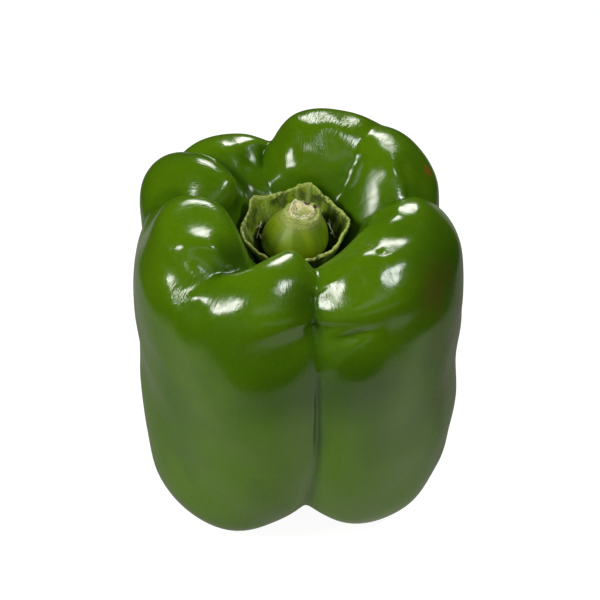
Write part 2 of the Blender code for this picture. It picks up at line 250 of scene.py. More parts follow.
def neighbour_mean(mesh: bpy.types.Mesh, values: np.ndarray, passes: int) -> np.ndarray:
    """Values on the vertices after each pass has averaged them with their neighbours.

    Args:
        mesh: the mesh whose edges say which vertices are neighbours.
        values: one row for each vertex.
        passes: how many times to average.

    Returns:
        The averaged values.
    """
    flat = np.empty(len(mesh.edges) * 2, np.int32)
    mesh.edges.foreach_get("vertices", flat)
    ends = flat.reshape(-1, 2)
    count = len(mesh.vertices)
    degree = np.bincount(ends.ravel(), minlength=count)[:, None]
    for _ in range(passes):
        total = np.empty_like(values)
        for k in range(values.shape[1]):
            total[:, k] = np.bincount(ends[:, 0], values[ends[:, 1], k], count)
            total[:, k] += np.bincount(ends[:, 1], values[ends[:, 0], k], count)
        values = 0.5 * values + 0.5 * total / degree
    return values


def keep_sunkenness(mesh: bpy.types.Mesh, name: str, passes: int, depth: float) -> None:
    """Stores how far each vertex is sunk: 0.5 on an even surface and 1 at the depth.

    Args:
        mesh: the mesh that gets the attribute.
        name: the attribute's name.
        passes: how widely the surroundings are averaged.
        depth: how far under its surroundings a vertex has to lie to get 1.
    """
    points = points_of(mesh)
    evened = neighbour_mean(mesh, points, passes)
    rise = np.einsum("ij,ij->i", evened - points, normals_of(mesh))
    keep_on_points(mesh, name, np.clip(0.5 + 0.5 * rise / depth, 0, 1))


def copied_node(node: str, name: str) -> bpy.types.Object:
    """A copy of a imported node, with its loose triangles merged into quads.

    Args:
        node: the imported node's name.
        name: the new piece's name.

    Returns:
        The new object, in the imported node's place.
    """
    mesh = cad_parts[node].data.copy()
    mesh.name = name
    mesh.materials.clear()
    piece = bpy.data.objects.new(name, mesh)
    bpy.context.scene.collection.objects.link(piece)
    select_only(piece)
    bpy.ops.mesh.customdata_custom_splitnormals_clear()
    bpy.ops.object.mode_set(mode="EDIT")
    bpy.ops.mesh.select_all(action="SELECT")
    bpy.ops.mesh.remove_doubles(threshold=0.001 * MM)
    bpy.ops.mesh.tris_convert_to_quads(
        face_threshold=math.pi, shape_threshold=math.pi, topology_influence=2.0
    )
    bpy.ops.mesh.normals_make_consistent(inside=False)
    bpy.ops.object.mode_set(mode="OBJECT")
    return piece


# ------------------------------------------------------------- shader building


class Wiring:
    """Adds nodes to a material's or a group's tree and joins them."""

    def __init__(self, tree: bpy.types.NodeTree) -> None:
        """Works on the given tree."""
        self.tree = tree

    def add(self, kind: str, inputs: dict | None = None, **settings: object) -> bpy.types.Node:
        """Adds a node.

        Args:
            kind: the node's type.
            inputs: for each input, a socket to join or a value to set.
            settings: the node's own settings.

        Returns:
            The new node.
        """
        node = self.tree.nodes.new(kind)
        for name, value in settings.items():
            setattr(node, name, value)
        for name, value in (inputs or {}).items():
            self.feed(node.inputs[name], value)
        return node

    def feed(self, target: Socket, value: object) -> None:
        """Gives an input what it needs.

        Args:
            target: the input.
            value: a socket to join to it, or a value to set.
        """
        if isinstance(value, bpy.types.NodeSocket):
            self.tree.links.new(value, target)
        elif isinstance(value, tuple) and len(value) == 3 and target.type == "RGBA":
            target.default_value = (*value, 1.0)
        else:
            target.default_value = value

    def maths(self, operation: str, *values: object) -> Socket:
        """The result of a Math node's operation on sockets or numbers."""
        inputs = dict(enumerate(values))
        return self.add("ShaderNodeMath", inputs, operation=operation).outputs[0]

    def times(self, first: object, second: object) -> Socket:
        """The product of two sockets or numbers."""
        return self.maths("MULTIPLY", first, second)

    def plus(self, first: object, second: object) -> Socket:
        """The sum of two sockets or numbers."""
        return self.maths("ADD", first, second)

    def scaled(self, value: Socket, gain: object, offset: object) -> Socket:
        """A value times a gain, plus an offset."""
        return self.maths("MULTIPLY_ADD", value, gain, offset)

    def without(self, mask: Socket) -> Socket:
        """1 where the mask is 0, and 0 where it is 1."""
        return self.maths("SUBTRACT", 1.0, mask)

    def noise(self, where: Socket, scale: object, detail: float, rough: float) -> Socket:
        """The value of a Noise texture at a place."""
        inputs = {"Vector": where, "Scale": scale, "Detail": detail, "Roughness": rough}
        return self.add("ShaderNodeTexNoise", inputs).outputs[0]

    def between(self, value: Socket, low: object, high: object) -> Socket:
        """A smooth step.

        Args:
            value: what is looked at.
            low: its value where the step is 0.
            high: its value where the step is 1.

        Returns:
            The step's socket.
        """
        inputs = {"Value": value, "From Min": low, "From Max": high}
        node = self.add("ShaderNodeMapRange", inputs, interpolation_type="SMOOTHSTEP")
        return node.outputs[0]

    def blend(self, share: object, first: object, second: object, how: str = "MIX") -> Socket:
        """Two colours mixed.

        Args:
            share: how much of the second colour, from 0 to 1.
            first: the first colour or its socket.
            second: the second colour or its socket.
            how: the blend mode.

        Returns:
            The mixed colour's socket.
        """
        node = self.add("ShaderNodeMix", data_type="RGBA", blend_type=how)
        self.feed(node.inputs["Factor"], share)
        self.feed(node.inputs[6], first)
        self.feed(node.inputs[7], second)
        return node.outputs[2]


class Group:
    """A shader node group being built, with a Vector and some numbers as its inputs."""

    def __init__(self, name: str, numbers: tuple[str, ...], results: tuple[str, ...]) -> None:
        """Starts a group.

        Args:
            name: the group's name.
            numbers: the names of its inputs beside the Vector.
            results: the names of its outputs.
        """
        self.tree = bpy.data.node_groups.new(name, "ShaderNodeTree")
        sockets = [("Vector", "INPUT", "NodeSocketVector")]
        sockets += [(label, "INPUT", "NodeSocketFloat") for label in numbers]
        sockets += [(label, "OUTPUT", "NodeSocketFloat") for label in results]
        for label, side, kind in sockets:
            self.tree.interface.new_socket(name=label, in_out=side, socket_type=kind)
        self.wiring = Wiring(self.tree)
        self.given = self.wiring.add("NodeGroupInput").outputs
        self.results = self.wiring.add("NodeGroupOutput").inputs

    def noise(self, scale: str, detail: float, rough: float) -> Socket:
        """Noise at the group's Vector, on the scale that an input gives."""
        return self.wiring.noise(self.given["Vector"], self.given[scale], detail, rough)

    def give(self, label: str, value: Socket) -> None:
        """Feeds one of the group's outputs."""
        self.wiring.feed(self.results[label], value)


def mottle_group() -> bpy.types.NodeTree:
    """Slow and fine unevenness of a plant's colour.

    Returns:
        A group with a Broad mask of soft patches and a Fine mask of cells.
    """
    group = Group("mottle", ("Patches", "Cells"), ("Broad", "Fine"))
    broad = group.noise("Patches", detail=2.0, rough=0.5)
    fine = group.noise("Cells", detail=3.0, rough=0.6)
    group.give("Broad", group.wiring.between(broad, low=0.36, high=0.64))
    group.give("Fine", group.wiring.between(fine, low=0.3, high=0.7))
    return group.tree


def peel_group() -> bpy.types.NodeTree:
    """The tiny bumps of a taut plant skin.

    Returns:
        A group with the bumps' Height.
    """
    group = Group("peel", ("Bumps", "Waves", "Wave share"), ("Height",))
    bumps = group.noise("Bumps", detail=2.0, rough=0.55)
    waves = group.noise("Waves", detail=1.0, rough=0.5)
    share = group.wiring.times(waves, group.given["Wave share"])
    group.give("Height", group.wiring.plus(bumps, share))
    return group.tree


def speck_group() -> bpy.types.NodeTree:
    """Scattered small dots.

    Returns:
        A group with a Mask that is 1 on the dots.
    """
    group = Group("specks", ("Spacing", "Size", "Share"), ("Mask",))
    wiring, given = group.wiring, group.given
    cells = wiring.add(
        "ShaderNodeTexVoronoi", {"Vector": given["Vector"], "Scale": given["Spacing"]}
    ).outputs
    middle = wiring.times(given["Size"], 0.5)
    dot = wiring.without(wiring.between(cells["Distance"], middle, given["Size"]))
    split = wiring.add("ShaderNodeSeparateColor", {"Color": cells["Color"]})
    kept = wiring.maths("LESS_THAN", split.outputs[0], given["Share"])
    group.give("Mask", wiring.times(dot, kept))
    return group.tree


def strand_group() -> bpy.types.NodeTree:
    """Veins or fibres that run lengthwise on a piece's grain.

    Returns:
        A group with a Mask that is 1 on the strands.
    """
    group = Group("strands", ("Count", "Length", "Low", "High"), ("Mask",))
    wiring, given = group.wiring, group.given
    stretch = wiring.add(
        "ShaderNodeCombineXYZ", {"X": given["Count"], "Y": given["Count"], "Z": given["Length"]}
    )
    drawn = wiring.add(
        "ShaderNodeVectorMath", {0: given["Vector"], 1: stretch.outputs[0]}, operation="MULTIPLY"
    )
    fibrous = wiring.noise(drawn.outputs[0], scale=1.0, detail=3.0, rough=0.55)
    group.give("Mask", wiring.between(fibrous, given["Low"], given["High"]))
    return group.tree


@dataclass(frozen=True)
class Effects:
    """The shader node groups that the finishes share."""

    mottle: bpy.types.NodeTree
    peel: bpy.types.NodeTree
    specks: bpy.types.NodeTree
    strands: bpy.types.NodeTree

    @classmethod
    def built(cls) -> "Effects":
        """All the groups, each built once."""
        return cls(mottle_group(), peel_group(), speck_group(), strand_group())


@dataclass(frozen=True)
class Strands:
    """Strands along a piece's grain.

    count: how closely they lie side by side
    length: how soon they end: the more, the shorter
    low, high: the noise values between which they set in
    """

    count: float
    length: float
    low: float
    high: float


class Surface:
    """A material being built: its wiring, its Principled shader and its coordinates."""

    def __init__(self, name: str, effects: Effects) -> None:
        """Starts a material.

        Args:
            name: the material's name.
            effects: the shared node groups.
        """
        self.material = bpy.data.materials.new(name)
        self.material.use_nodes = True
        self.effects = effects
        self.wiring = Wiring(self.material.node_tree)
        self.shader = self.material.node_tree.nodes["Principled BSDF"]
        self.place = self.wiring.add("ShaderNodeTexCoord").outputs["Object"]

    def effect(self, tree: bpy.types.NodeTree, where: Socket, **values: float) -> dict:
        """Places a shared group with its own values.

        Args:
            tree: the group.
            where: the coordinates that it reads.
            values: its inputs, with an underscore for each space.

        Returns:
            The group's output sockets by name.
        """
        node = self.wiring.add("ShaderNodeGroup", node_tree=tree)
        self.wiring.feed(node.inputs["Vector"], where)
        for name, value in values.items():
            node.inputs[name.replace("_", " ")].default_value = value
        return dict(node.outputs.items())

    def mottle(self, patches: float, cells: float) -> tuple[Socket, Socket]:
        """The masks of broad patches and of fine cells, both sized in parts per metre."""
        masks = self.effect(self.effects.mottle, self.place, Patches=patches, Cells=cells)
        return masks["Broad"], masks["Fine"]

    def strands(self, kind: Strands) -> Socket:
        """Strands that follow the piece's grain.

        Args:
            kind: what they are like.

        Returns:
            The mask's socket.
        """
        grain = self.wiring.add("ShaderNodeAttribute", attribute_name="grain").outputs["Vector"]
        masks = self.effect(
            self.effects.strands, grain,
            Count=kind.count, Length=kind.length, Low=kind.low, High=kind.high,
        )
        return masks["Mask"]

    def stored(self, name: str) -> Socket:
        """The value of an attribute of the piece."""
        return self.wiring.add("ShaderNodeAttribute", attribute_name=name).outputs["Fac"]

    def near(self, centre: Point, reach: float, softness: float) -> Socket:
        """1 near a point, fading out towards the reach.

        Args:
            centre: the point, in millimetres.
            reach: where the mask ends, in millimetres.
            softness: share of the reach over which it fades.

        Returns:
            The mask's socket.
        """
        place = tuple(c * MM for c in centre)
        away = self.wiring.add(
            "ShaderNodeVectorMath", {0: self.place, 1: place}, operation="DISTANCE"
        ).outputs["Value"]
        return self.wiring.without(
            self.wiring.between(away, reach * MM * (1 - softness), reach * MM)
        )

    def set(self, **values: object) -> None:
        """Sets or joins the shader's inputs, with an underscore for each space."""
        for name, value in values.items():
            self.wiring.feed(self.shader.inputs[name.replace("_", " ")], value)

    def bump(self, height: Socket, distance: float) -> None:
        """Feeds a height to the shader's normal."""
        node = self.wiring.add("ShaderNodeBump", {"Height": height, "Distance": distance})
        self.set(Normal=node.outputs["Normal"])


class Finish(ABC):
    """What a piece's surface looks like."""

    def material(self, name: str, effects: Effects) -> bpy.types.Material:
        """Builds the finish.

        Args:
            name: the material's name.
            effects: the shared node groups.

        Returns:
            The new material.
        """
        surface = Surface(name, effects)
        self.paint(surface)
        return surface.material

    @abstractmethod
    def paint(self, surface: Surface) -> None:
        """Wires up the material's colour, roughness and bumps."""


@dataclass
class Piece(ABC):
    """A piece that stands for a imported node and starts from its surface.

    node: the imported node's name
    name: the piece's own name
    levels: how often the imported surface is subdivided
    """

    node: str
    name: str
    levels: int

    def build(self, finish: Finish, effects: Effects) -> bpy.types.Object:
        """Models and dresses the piece.

        Args:
            finish: what its surface looks like.
            effects: the shared node groups.

        Returns:
            The finished piece.
        """
        piece = copied_node(self.node, self.name)
        self.note_form(piece.data)
        subdivide_smoothly(piece, self.levels)
        self.work(piece.data)
        piece.data.shade_smooth()
        piece.data.materials.append(finish.material(self.name, effects))
        return piece

    def note_form(self, mesh: bpy.types.Mesh) -> None:
        """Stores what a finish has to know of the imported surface: nothing, as a rule."""

    @abstractmethod
    def work(self, mesh: bpy.types.Mesh) -> None:
        """Works the fine shapes into the subdivided surface and stores what a finish reads."""


# -------------------------------------------------------------------- the skin


@dataclass(frozen=True)
class Spot:
    """A patch of the skin: its middle and its reach in millimetres, and its strength."""

    place: Point
    reach: float
    strength: float


@dataclass(frozen=True)
class SkinFinish(Finish):
    """Glossy dark green skin, yellower where it bulges, partly as painted light, and darkened by
    painted shade in its folds, valleys and shaded patches.
    """

    bulge_tone_and_painted_light_green: Colour = (0.066, 0.146, 0.0010)
    green: Colour = (0.046, 0.116, 0.0010)
    painted_shade_green: Colour = (0.012, 0.042, 0.0012)
    blush: Colour = (0.105, 0.070, 0.012)
    red: Colour = (0.260, 0.060, 0.015)
    scar_brown: Colour = (0.19, 0.105, 0.035)
    speck: Colour = (0.22, 0.26, 0.08)
    tone: Span = (0.07, 0.965)  # how the fine mottle tints it: gain, offset
    roughness: Span = (0.14, 0.22)
    refraction: float = 1.46
    bump: float = 0.020 * MM
    mottle: Span = (38.0, 700.0)  # patches and cells per metre
    bulge_tone_and_painted_light: Span = (0.46, 0.18)  # valley depths over which the bulges' yellower green sets in, partly painted light
    bulge_tone_and_painted_light_least: float = 0.45  # its share where the mottle is at its lowest
    valley_painted_shade: Span = (0.50, 0.95)  # valley depths over which painted shade darkens it
    fold_painted_shade: Span = (0.55, 1.0)  # hollow depths over which painted shade darkens it
    spot_softness: float = 0.95  # share of a spot's reach over which it fades
    shade_edge: Span = (0.5, 0.6)  # how the mottle frays the painted shade patches: gain, offset
    shade_most: float = 0.85
    blush_most: float = 0.8
    blush_strands: Strands = Strands(7.0, 35.0, 0.35, 0.65)
    speck_share: float = 0.5
    streaks: Strands = Strands(75.0, 240.0, 0.3, 0.7)
    streak_share: float = 0.8
    blushes: tuple[Spot, ...] = (
        Spot((36.3, -24.1, 84.9), 12.0, 0.55),
        Spot((40.5, -21.0, 69.0), 15.0, 0.60),
        Spot((40.5, -20.5, 46.2), 13.0, 0.50),
        Spot((42.5, -14.0, 58.0), 16.0, 0.45),
    )
    red_spot: Spot = Spot((35.0, 17.7, 90.6), 2.6, 0.8)
    # Painted shade: darker patches where the skin faces away from the lights.
    painted_shade_spots: tuple[Spot, ...] = (
        Spot((-4.0, -41.0, 66.0), 17.0, 0.7),
        Spot((15.0, -40.5, 66.0), 19.0, 0.8),
        Spot((36.0, -17.0, 88.0), 20.0, 0.7),
        Spot((-17.0, -22.5, 93.0), 9.0, 0.8),
        Spot((0.0, -33.0, 88.0), 11.0, 0.5),
    )
    wrinkled: tuple[Spot, ...] = (
        Spot((-30.5, -32.2, 87.5), 5.5, 6.0),
        Spot((-24.8, -28.0, 91.6), 5.0, 4.0),
        Spot((8.6, 27.8, 100.8), 13.0, 3.0),
        Spot((25.1, 18.3, 97.9), 8.0, 3.0),
        Spot((24.5, -22.3, 96.5), 4.0, 5.0),
        Spot((5.4, 20.5, 97.5), 7.0, 3.5),
    )

    def gathered(self, surface: Surface, spots: tuple[Spot, ...]) -> Socket:
        """The sum of the spots' soft masks.

        Args:
            surface: the material being built.
            spots: the spots.

        Returns:
            The sum's socket.
        """
        total = None
        for spot in spots:
            mask = surface.near(spot.place, spot.reach, self.spot_softness)
            mask = surface.wiring.times(mask, spot.strength)
            total = mask if total is None else surface.wiring.plus(total, mask)
        return total

    def greens(self, surface: Surface, broad: Socket) -> Socket:
        """The skin's greens: yellower on the bulges, partly painted light, and darkened by
        painted shade in the shaded patches, valleys and folds.

        Args:
            surface: the material being built.
            broad: its mask of broad patches.

        Returns:
            The colour's socket.
        """
        wiring = surface.wiring
        valley = surface.stored("valley")
        bulge_tone_and_painted_light = wiring.between(valley, *self.bulge_tone_and_painted_light)
        bulge_tone_and_painted_light = wiring.times(bulge_tone_and_painted_light, wiring.plus(self.bulge_tone_and_painted_light_least, broad))
        painted_shade_spots = self.gathered(surface, self.painted_shade_spots)
        painted_shade_spots = wiring.times(painted_shade_spots, wiring.scaled(broad, *self.shade_edge))
        colour = wiring.blend(bulge_tone_and_painted_light, self.green, self.bulge_tone_and_painted_light_green)
        # Painted shade: the shaded patches, the valleys and the folds darken the green.
        for darker in (
            wiring.maths("MINIMUM", painted_shade_spots, self.shade_most),
            wiring.between(valley, *self.valley_painted_shade),
            wiring.between(surface.stored("hollow"), *self.fold_painted_shade),
        ):
            colour = wiring.blend(darker, colour, self.painted_shade_green)
        return colour

    def colour(self, surface: Surface, broad: Socket, fine: Socket) -> Socket:
        """The skin's colour.

        Args:
            surface: the material being built.
            broad: its mask of broad patches.
            fine: its mask of fine cells.

        Returns:
            The colour's socket.
        """
        wiring = surface.wiring
        tone = wiring.scaled(fine, *self.tone)
        tint = wiring.add("ShaderNodeCombineColor", {0: tone, 1: tone, 2: tone}).outputs[0]
        colour = wiring.blend(1.0, self.greens(surface, broad), tint, "MULTIPLY")
        blush = self.gathered(surface, self.blushes)
        blush = wiring.times(blush, surface.strands(self.blush_strands))
        colour = wiring.blend(wiring.maths("MINIMUM", blush, self.blush_most), colour, self.blush)
        colour = wiring.blend(self.gathered(surface, (self.red_spot,)), colour, self.red)
        specks = surface.effect(
            surface.effects.specks, surface.place, Spacing=75.0, Size=0.045, Share=0.35
        )
        speckled = wiring.times(specks["Mask"], self.speck_share)
        colour = wiring.blend(speckled, colour, self.speck)
        return wiring.blend(surface.stored("scar"), colour, self.scar_brown)

    def paint(self, surface: Surface) -> None:
        """Wires up the skin's material.

        Args:
            surface: the material being built.
        """
        wiring = surface.wiring
        broad, fine = surface.mottle(*self.mottle)
        rough = wiring.add(
            "ShaderNodeMapRange",
            {"Value": fine, "To Min": self.roughness[0], "To Max": self.roughness[1]},
        ).outputs[0]
        peel = surface.effect(
            surface.effects.peel, surface.place, Bumps=1300.0, Waves=300.0, Wave_share=0.9
        )
        share = wiring.plus(self.gathered(surface, self.wrinkled), self.streak_share)
        relief = wiring.scaled(surface.strands(self.streaks), share, peel["Height"])
        colour = self.colour(surface, broad, fine)
        surface.set(Base_Color=colour, Roughness=rough, IOR=self.refraction)
        surface.bump(relief, self.bump)


BLUNT_END = 0.06        # share of a crease's length, at either end, where it tapers no more


@dataclass(frozen=True)
class Crease:
    """A fine groove in the skin, or a ridge where its depth is negative.

    start, end: its two ends, in millimetres, on the skin
    depth, width: in millimetres
    """

    start: Point
    end: Point
    depth: float
    width: float

    def dip(self, points: np.ndarray) -> np.ndarray:
        """How far the groove sinks the skin.

        Args:
            points: the skin's points.

        Returns:
            One depth for each point, in metres.
        """
        along, away = beside_run(points, self.start, self.end)
        taper = np.sin(np.pi * np.clip(along, BLUNT_END, 1.0 - BLUNT_END)) ** 0.5
        return self.depth * MM * taper * bell(away, self.width * MM)


class Lie(Enum):
    """Ways that a flat on the skin faces: azimuth and elevation in degrees."""

    UP = (58.0, 84.8)
    LEFT = (-119.5, 47.1)
    RIGHT = (-58.8, 52.6)
    HIGH_LEFT = (-150.0, 64.0)
    STEEP_FRONT = (-108.0, 26.0)
    FRONT = (-80.0, 66.0)
    INWARD = (-15.0, 45.0)


PRESSES = 4             # how many times each flat is pressed in, all of them in turn
PRESS_SHARE = 0.5       # how much of its turn is made at one press
LEAST_FACING = 0.3      # keeps a slope finite where a flat turns far
FACING_GAIN = 2.0       # a flat fades out where the skin turns more than 60 degrees away
NO_SLOPE = 1e-9         # less than any slope that matters


@dataclass(frozen=True)
class Flat:
    """A patch of skin that lies flatter, or turned another way, than the round form.

    place: its middle, in millimetres, near the skin
    lie: the way that it faces
    reach: in millimetres
    flatter: how much curvature it loses, in 1/metres
    steepest: the most that it turns, in degrees
    """

    place: Point
    lie: Lie
    reach: float
    flatter: float = 0.0
    steepest: float = 22.0

    def press(self, points: np.ndarray, normals: np.ndarray) -> np.ndarray:
        """Where the points go when the flat is pressed into the skin once.

        Args:
            points: the skin's points.
            normals: the skin's normals there.

        Returns:
            The moved points.
        """
        nearest = int(np.argmin(distances(points, self.place)))
        normal = normals[nearest]
        wanted = direction(*self.lie.value)
        slope = normal - wanted / max(float(wanted @ normal), LEAST_FACING)
        size = max(float(np.linalg.norm(slope)), NO_SLOPE)
        slope *= min(1.0, math.tan(math.radians(self.steepest)) / size) * PRESS_SHARE
        rel = points - points[nearest]
        away = np.linalg.norm(rel, axis=1)
        curve = 0.5 * self.flatter / PRESSES
        height = rel @ slope + curve * away**2
        facing = np.clip(FACING_GAIN * normals @ normal, 0.0, 1.0)
        return points + normal * (height * bell(away, self.reach * MM) * facing)[:, None]


@dataclass
class Fruit(Piece):
    """The skin of the fruit."""

    node: str = "pepper_body"
    name: str = "pepper_skin"
    levels: int = 2
    axis: Span = (-0.8 * MM, -0.9 * MM)
    valleys: tuple[int, float] = (45, 4.0 * MM)  # passes and depth of the broad hollows, which the finish reads for the bulges' tone, partly painted light, and for painted shade
    hollows: tuple[int, float] = (60, 1.6 * MM)  # passes and depth of the narrow ones, which the finish darkens with painted shade
    scar_reach: float = 4.5 * MM
    swells: tuple[Swell, ...] = (Swell(11.0, 0.16, 3.0), Swell(5.0, 0.045, 8.0))
    swells_from: float = 12.0 * MM  # height over which they set in
    wall_swell: Swell = Swell(13.0, 0.42, 5.0, 0.3)
    wall_top: float = 80.0 * MM
    wall_fade: float = 14.0 * MM
    dimple: Point = (21.6, -22.4, 97.0)
    dimple_depth: float = 1.0 * MM
    dimple_reach: float = 1.15 * MM
    softening: int = 40  # passes of evening
    # A fold's two ends and how far from it the skin is softened, in millimetres.
    softened: tuple[tuple[Point, Point, float], ...] = (
        ((18.5, 20.5, 96.5), (11.0, 12.5, 85.0), 2.6),
    )
    flats: tuple[Flat, ...] = (
        Flat((-26.4, -9.0, 102.5), Lie.UP, 3.5, 10.0),
        Flat((-25.6, -18.2, 100.1), Lie.UP, 9.0, 66.0, 32.0),
        Flat((-30.0, -21.2, 98.4), Lie.HIGH_LEFT, 3.2, 0.0, 14.0),
        Flat((-20.6, -21.5, 96.2), Lie.INWARD, 4.5, 0.0, 18.0),
        Flat((-31.9, -27.5, 91.4), Lie.LEFT, 4.0, 5.0),
        Flat((-30.5, -32.2, 87.5), Lie.LEFT, 4.2, 5.0),
        Flat((-20.0, -37.5, 89.7), Lie.LEFT, 4.4, 8.0),
        Flat((-25.3, -26.2, 94.2), Lie.RIGHT, 3.6, 10.0, 40.0),
        Flat((-25.8, -34.4, 88.9), Lie.STEEP_FRONT, 3.0, -20.0, 18.0),
        Flat((-4.2, -25.8, 96.8), Lie.UP, 5.5, 15.0),
        Flat((26.8, -6.6, 97.4), Lie.UP, 2.6, 0.0, 20.0),
        Flat((24.5, -14.0, 97.4), Lie.FRONT, 4.8, 0.0, 22.0),
        Flat((21.8, -22.3, 97.0), Lie.UP, 6.5, 70.0, 30.0),
        Flat((25.0, -29.3, 93.3), Lie.RIGHT, 2.8, 10.0),
        Flat((21.2, -30.1, 93.7), Lie.RIGHT, 2.8, 10.0),
        Flat((11.6, -31.0, 92.4), Lie.LEFT, 4.0, -95.0, 5.0),
        Flat((-14.5, 29.1, 92.5), Lie.UP, 4.0),
        Flat((-11.8, 23.5, 89.0), Lie.RIGHT, 3.0),
        Flat((-11.2, 15.5, 86.5), Lie.INWARD, 4.0, 0.0, 18.0),
        Flat((2.0, 28.6, 99.7), Lie.UP, 4.5, 10.0, 25.0),
        Flat((8.6, 27.8, 100.8), Lie.UP, 4.5, 15.0),
        Flat((15.0, 29.6, 98.8), Lie.UP, 4.5, 10.0, 25.0),
        Flat((-2.5, 21.5, 94.2), Lie.LEFT, 2.4),
        Flat((-2.3, 19.0, 91.2), Lie.LEFT, 2.4),
        Flat((5.4, 20.5, 97.5), Lie.RIGHT, 3.5),
        Flat((25.1, 18.3, 97.9), Lie.UP, 4.5),
        Flat((26.5, 12.8, 95.2), Lie.INWARD, 3.2, 0.0, 15.0),
        Flat((16.2, 18.3, 94.0), Lie.STEEP_FRONT, 2.4, 0.0, 12.0),
        Flat((14.2, 15.7, 90.5), Lie.STEEP_FRONT, 2.4, 0.0, 12.0),
        Flat((12.0, 13.8, 87.3), Lie.STEEP_FRONT, 2.4, 0.0, 12.0),
        Flat((-5.6, 16.2, 85.8), Lie.STEEP_FRONT, 3.2, 0.0, 16.0),
    )
    creases: tuple[Crease, ...] = (
        Crease((4.6, -34.8, 85.4), (2.9, -36.4, 82.4), 0.7, 1.3),
        Crease((5.4, -38.8, 67.3), (5.6, -39.6, 34.9), 0.8, 1.1),
        Crease((5.4, -38.6, 40.0), (2.5, -35.9, 19.0), 0.7, 1.1),
        Crease((8.2, -37.7, 79.2), (14.9, -37.4, 81.3), 0.8, 1.3),
        Crease((12.9, -37.4, 80.6), (19.2, -36.8, 82.4), 0.8, 1.2),
        Crease((8.5, -39.8, 71.1), (14.4, -39.0, 78.0), -0.35, 1.2),
        Crease((-22.8, -28.4, 91.1), (-15.5, -24.6, 92.2), 0.6, 1.1),
        Crease((-26.4, -29.4, 90.8), (-23.0, -27.6, 91.6), 0.3, 0.7),
        Crease((-26.8, -28.0, 91.9), (-23.6, -26.4, 92.6), 0.25, 0.6),
        Crease((-36.9, -19.5, 90.0), (-38.0, -21.0, 84.0), 0.5, 1.0),
    )

    def note_form(self, mesh: bpy.types.Mesh) -> None:
        """Stores how deep each vertex lies in the broad valleys between the lobes, for the
        finish's bulge tone, painted light and painted shade.
        """
        keep_sunkenness(mesh, "valley", *self.valleys)

    def work(self, mesh: bpy.types.Mesh) -> None:
        """Works the fine shapes into the skin and stores what its finish reads.

        Args:
            mesh: the skin's mesh.
        """
        self.soften(mesh)
        self.flatten(mesh)
        self.carve(mesh)
        # The hollows carry the painted shade of the folds.
        keep_sunkenness(mesh, "hollow", *self.hollows)
        self.note_scar(mesh)
        self.note_grain(mesh)

    def soften(self, mesh: bpy.types.Mesh) -> None:
        """Rounds the sharp edge of a fold.

        Args:
            mesh: the skin's mesh.
        """
        points = points_of(mesh)
        evened = neighbour_mean(mesh, points, self.softening)
        for start, end, reach in self.softened:
            away = beside_run(points, start, end)[1]
            points = points + (evened - points) * bell(away, reach * MM)[:, None]
        move_points(mesh, points)

    def flatten(self, mesh: bpy.types.Mesh) -> None:
        """Presses the flats into the skin, in turn, a part of each turn at a time.

        Args:
            mesh: the skin's mesh.
        """
        for _ in range(PRESSES):
            for flat in self.flats:
                move_points(mesh, flat.press(points_of(mesh), normals_of(mesh)))

    def carve(self, mesh: bpy.types.Mesh) -> None:
        """Cuts the fine creases and the dimple into the skin and makes it uneven.

        Args:
            mesh: the skin's mesh.
        """
        points, normals = points_of(mesh), normals_of(mesh)
        height = points[:, 2]
        sink = sum(crease.dip(points) for crease in self.creases)
        sink = sink + self.dimple_depth * bell(distances(points, self.dimple), self.dimple_reach)
        share = np.clip(height / self.swells_from, 0, 1)
        for swell in self.swells:
            sink = sink + swell.over(points, share)
        share = share * np.clip((self.wall_top - height) / self.wall_fade, 0, 1)
        sink = sink + self.wall_swell.over(points, share)
        move_points(mesh, points - normals * sink[:, None])

    def note_grain(self, mesh: bpy.types.Mesh) -> None:
        """Stores coordinates that run round the fruit and along its meridians.

        Args:
            mesh: the skin's mesh.
        """
        points = points_of(mesh)
        out = np.hypot(points[:, 0] - self.axis[0], points[:, 1] - self.axis[1])
        keep_grain(mesh, azimuths(points, self.axis), points[:, 2] - out)

    def note_scar(self, mesh: bpy.types.Mesh) -> None:
        """Stores where the scar of the blossom end is.

        Args:
            mesh: the skin's mesh.
        """
        points = points_of(mesh)
        low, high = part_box(self.node)
        middle = (low + high) / 2
        away = np.hypot(points[:, 0] - middle.x, points[:, 1] - middle.y)
        under = points[:, 2] < middle.z * 0.5
        keep_on_points(mesh, "scar", bell(away, self.scar_reach) * under)


# ------------------------------------------------------------------- the calyx


